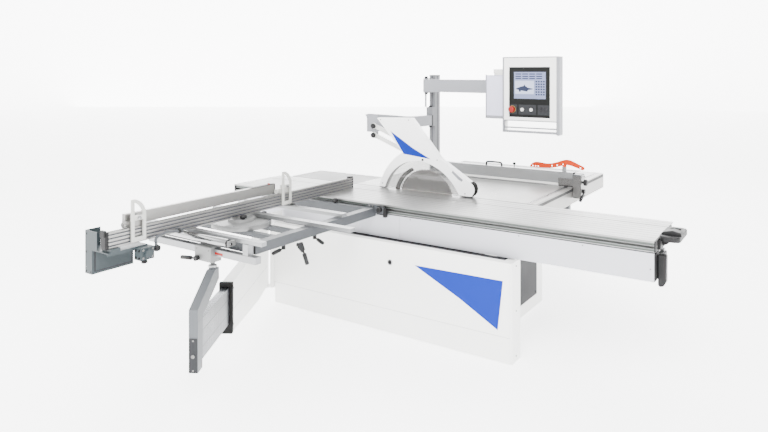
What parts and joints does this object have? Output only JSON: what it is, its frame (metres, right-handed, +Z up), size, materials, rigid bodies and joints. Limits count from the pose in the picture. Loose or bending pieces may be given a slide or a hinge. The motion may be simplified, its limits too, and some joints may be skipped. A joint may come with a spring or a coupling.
{
  "type": "panel saw",
  "caption": "Sliding-table panel saw: cabinet with tilting blade, long carriage with crosscut outrigger and fence, swing arm, rip fence, overhead hood and swinging control panel.",
  "frame": {"origin": "on the floor under the blade's plane, at the middle of the base", "axes": "+X along the sliding carriage towards the operator's end, +Y from the carriage to the rip fence, +Z up"},
  "size_m": [3.468, 4.205, 1.938],
  "materials": {
    "white_paint": "satin powder coat",
    "grey_paint": "satin powder coat",
    "dark_paint": "matt",
    "anodised": "satin anodised",
    "cast_aluminium": "fine cast",
    "cast_iron": "ground top",
    "steel": "ground",
    "chrome": "polished",
    "black_plastic": "moulded",
    "white_shell": "moulded",
    "clear_pane": "clear",
    "red_plastic": "gloss",
    "orange_plastic": "gloss",
    "rubber": "matt"
  },
  "bodies": {
    "base": {"base_frame": "white_paint", "front_panel": "white_paint", "kick_plate": "white_paint", "body_covers": "white_paint", "legs_and_feet": "grey_paint", "cast_table": "cast_iron", "extension_tables": "white_paint", "rip_guide_rail": "anodised", "guide_beam": "anodised", "beam_fascia": "anodised", "mast": "grey_paint", "trunnions": "cast_iron", "hood_arm": "white_paint"},
    "panel_lock": {"panel_lock": "black_plastic"},
    "roller_cage": {"roller_cage": "steel"},
    "carriage": {"carriage_top": "anodised", "carriage_ends": "black_plastic", "carriage_handle": "black_plastic"},
    "outrigger": {"outrigger_frame": "grey_paint", "outrigger_bars": "anodised", "support_rail": "grey_paint", "protractor_disc": "cast_aluminium"},
    "edge_roller": {"edge_roller": "chrome"},
    "clamp_knob": {"clamp_knob": "black_plastic"},
    "rail_clamp": {"rail_clamp": "cast_aluminium"},
    "rail_clamp_lever": {"rail_clamp_lever": "black_plastic"},
    "frame_lever": {"frame_lever": "black_plastic"},
    "crosscut_fence": {"fence_profile": "anodised", "fence_hub": "cast_aluminium", "end_box": "grey_paint", "bent_handle": "black_plastic"},
    "extension_bar": {"extension_bar": "anodised"},
    "stop_1": {"stop_plate_1": "cast_aluminium"},
    "stop_carrier": {"stop_carrier": "cast_aluminium"},
    "stop_2": {"stop_plate_2": "cast_aluminium"},
    "outer_arm": {"outer_arm": "white_paint"},
    "inner_arm": {"inner_arm": "anodised", "arm_post": "grey_paint"},
    "link_lower": {"link_lower": "grey_paint"},
    "link_upper": {"link_upper": "grey_paint"},
    "hood": {"hood_shell": "white_shell", "hood_window": "clear_pane"},
    "boom": {"boom": "grey_paint"},
    "control_panel": {"panel_box": "white_paint"},
    "estop_button": {"estop_button": "red_plastic"},
    "selector_1": {"selector_1": "chrome"},
    "selector_2": {"selector_2": "black_plastic"},
    "saw_cradle": {"saw_cradle": "cast_iron"},
    "saw_lift": {"lift_slide": "cast_iron", "motor": "dark_paint", "drive_belt": "rubber", "riving_knife": "steel"},
    "motor_shaft": {"motor_pulley": "steel"},
    "arbor": {"arbor": "steel", "saw_blade": "steel"},
    "scoring_saw": {"scoring_saw": "steel"},
    "rip_block": {"rip_block": "steel"},
    "rip_profile": {"rip_profile": "anodised"},
    "rip_lever": {"rip_lever": "black_plastic"},
    "push_stick": {"push_stick": "orange_plastic"}
  },
  "joints": [
    {"name": "panel_lock_turn", "type": "hinge", "parent": "base", "child": "panel_lock", "pos_m": [0.102, -0.692, 0.491], "axis": [0, 1, 0], "range_deg": [0, 90]},
    {"name": "carriage_slide", "type": "slide", "parent": "base", "child": "carriage", "axis": [1, 0, 0], "range_m": [-1.6, 0.3]},
    {"name": "cage_roll", "type": "slide", "parent": "base", "child": "roller_cage", "axis": [1, 0, 0], "range_m": [-0.8, 0.15]},
    {"name": "outrigger_slide", "type": "slide", "parent": "carriage", "child": "outrigger", "axis": [1, 0, 0], "range_m": [-0.3, 0.3]},
    {"name": "edge_roller_spin", "type": "hinge", "parent": "outrigger", "child": "edge_roller", "pos_m": [-0.5, -1.875, 0.834], "axis": [1, 0, 0], "continuous": true},
    {"name": "clamp_knob_turn", "type": "hinge", "parent": "outrigger", "child": "clamp_knob", "pos_m": [-0.034, -0.62, 0.825], "axis": [0, 1, 0], "range_deg": [-180, 180]},
    {"name": "rail_clamp_slide", "type": "slide", "parent": "outrigger", "child": "rail_clamp", "axis": [1, 0, 0], "range_m": [-0.42, 0.22]},
    {"name": "rail_lever_turn", "type": "hinge", "parent": "rail_clamp", "child": "rail_clamp_lever", "pos_m": [-0.48, -1.86, 0.712], "axis": [0, 1, 0], "range_deg": [-90, 0]},
    {"name": "frame_lever_turn", "type": "hinge", "parent": "outrigger", "child": "frame_lever", "pos_m": [-0.08, -1.436, 0.75], "axis": [1, 0, 0], "range_deg": [0, 50]},
    {"name": "fence_swivel", "type": "hinge", "parent": "outrigger", "child": "crosscut_fence", "pos_m": [-0.6, -1.41, 0.832], "axis": [0, 0, 1], "range_deg": [-45, 45]},
    {"name": "bar_slide", "type": "slide", "parent": "crosscut_fence", "child": "extension_bar", "axis": [0, 1, 0], "range_m": [-0.6, 0]},
    {"name": "stop_1_flip", "type": "hinge", "parent": "extension_bar", "child": "stop_1", "pos_m": [-0.6, -2.212, 1], "axis": [0, -1, 0], "range_deg": [0, 90]},
    {"name": "stop_carrier_slide", "type": "slide", "parent": "crosscut_fence", "child": "stop_carrier", "axis": [0, 1, 0], "range_m": [-0.7, 0.6]},
    {"name": "stop_2_flip", "type": "hinge", "parent": "stop_carrier", "child": "stop_2", "pos_m": [-0.6, -1.006, 1], "axis": [0, -1, 0], "range_deg": [0, 90]},
    {"name": "arm_swing", "type": "hinge", "parent": "base", "child": "outer_arm", "pos_m": [-1.045, -0.745, 0.4], "axis": [0, 0, 1], "range_deg": [-80, 20]},
    {"name": "arm_extend", "type": "slide", "parent": "outer_arm", "child": "inner_arm", "axis": [0.5103, -0.86, 0], "range_m": [-0.25, 0.3]},
    {"name": "link_lower_lift", "type": "hinge", "parent": "base", "child": "link_lower", "pos_m": [-0.545, 0.055, 1.278], "axis": [0, -1, 0], "range_deg": [0, 40]},
    {"name": "link_upper_lift", "type": "hinge", "parent": "base", "child": "link_upper", "pos_m": [-0.545, 0.055, 1.355], "axis": [0, -1, 0], "range_deg": [0, 40]},
    {"name": "hood_level", "type": "hinge", "parent": "link_lower", "child": "hood", "pos_m": [-0.15134, 0.055, 1.1316], "axis": [0, -1, 0], "range_deg": [-40, 0]},
    {"name": "boom_swing", "type": "hinge", "parent": "base", "child": "boom", "pos_m": [-0.625, 1.06, 1.678], "axis": [0, 0, 1], "range_deg": [-30, 50]},
    {"name": "panel_swivel", "type": "hinge", "parent": "boom", "child": "control_panel", "pos_m": [0.533, 0.935, 1.678], "axis": [0, 0, 1], "range_deg": [0, 45]},
    {"name": "estop_push", "type": "slide", "parent": "control_panel", "child": "estop_button", "axis": [0, 1, 0], "range_m": [0, 0.006], "stiffness_N_per_m": 600},
    {"name": "selector_1_turn", "type": "hinge", "parent": "control_panel", "child": "selector_1", "pos_m": [0.462, 0.82, 1.488], "axis": [0, 1, 0], "range_deg": [-45, 45]},
    {"name": "selector_2_turn", "type": "hinge", "parent": "control_panel", "child": "selector_2", "pos_m": [0.542, 0.82, 1.488], "axis": [0, 1, 0], "range_deg": [-45, 45]},
    {"name": "blade_tilt", "type": "hinge", "parent": "base", "child": "saw_cradle", "pos_m": [0, 0, 0.86], "axis": [1, 0, 0], "range_deg": [-46, 0]},
    {"name": "blade_lift", "type": "slide", "parent": "saw_cradle", "child": "saw_lift", "axis": [0, 0, 1], "range_m": [-0.18, 0]},
    {"name": "arbor_spin", "type": "hinge", "parent": "saw_lift", "child": "arbor", "pos_m": [-0.01, 0, 0.79], "axis": [0, 1, 0], "continuous": true},
    {"name": "motor_spin", "type": "hinge", "parent": "saw_lift", "child": "motor_shaft", "pos_m": [0.15, 0, 0.56], "axis": [0, 1, 0], "continuous": true},
    {"name": "scoring_spin", "type": "hinge", "parent": "saw_lift", "child": "scoring_saw", "pos_m": [0.33, 0, 0.802], "axis": [0, 1, 0], "continuous": true},
    {"name": "rip_slide", "type": "slide", "parent": "base", "child": "rip_block", "axis": [0, 1, 0], "range_m": [-0.75, 0.62]},
    {"name": "rip_profile_slide", "type": "slide", "parent": "rip_block", "child": "rip_profile", "axis": [1, 0, 0], "range_m": [-0.25, 0]},
    {"name": "rip_lever_turn", "type": "hinge", "parent": "rip_block", "child": "rip_lever", "pos_m": [0.96, 0.882, 0.83], "axis": [1, 0, 0], "range_deg": [0, 45]},
    {"name": "push_stick_lift", "type": "slide", "parent": "rip_profile", "child": "push_stick", "axis": [0, 0, 1], "range_m": [0, 0.12]}
  ],
  "couplings": [
    {"joint": "cage_roll", "follows": "carriage_slide", "ratio": 0.5},
    {"joint": "arm_swing", "follows": "carriage_slide", "rad_per_m": 0.8307},
    {"joint": "link_upper_lift", "follows": "link_lower_lift", "ratio": 1},
    {"joint": "hood_level", "follows": "link_lower_lift", "ratio": -1},
    {"joint": "motor_spin", "follows": "arbor_spin", "ratio": 0.58333}
  ]
}
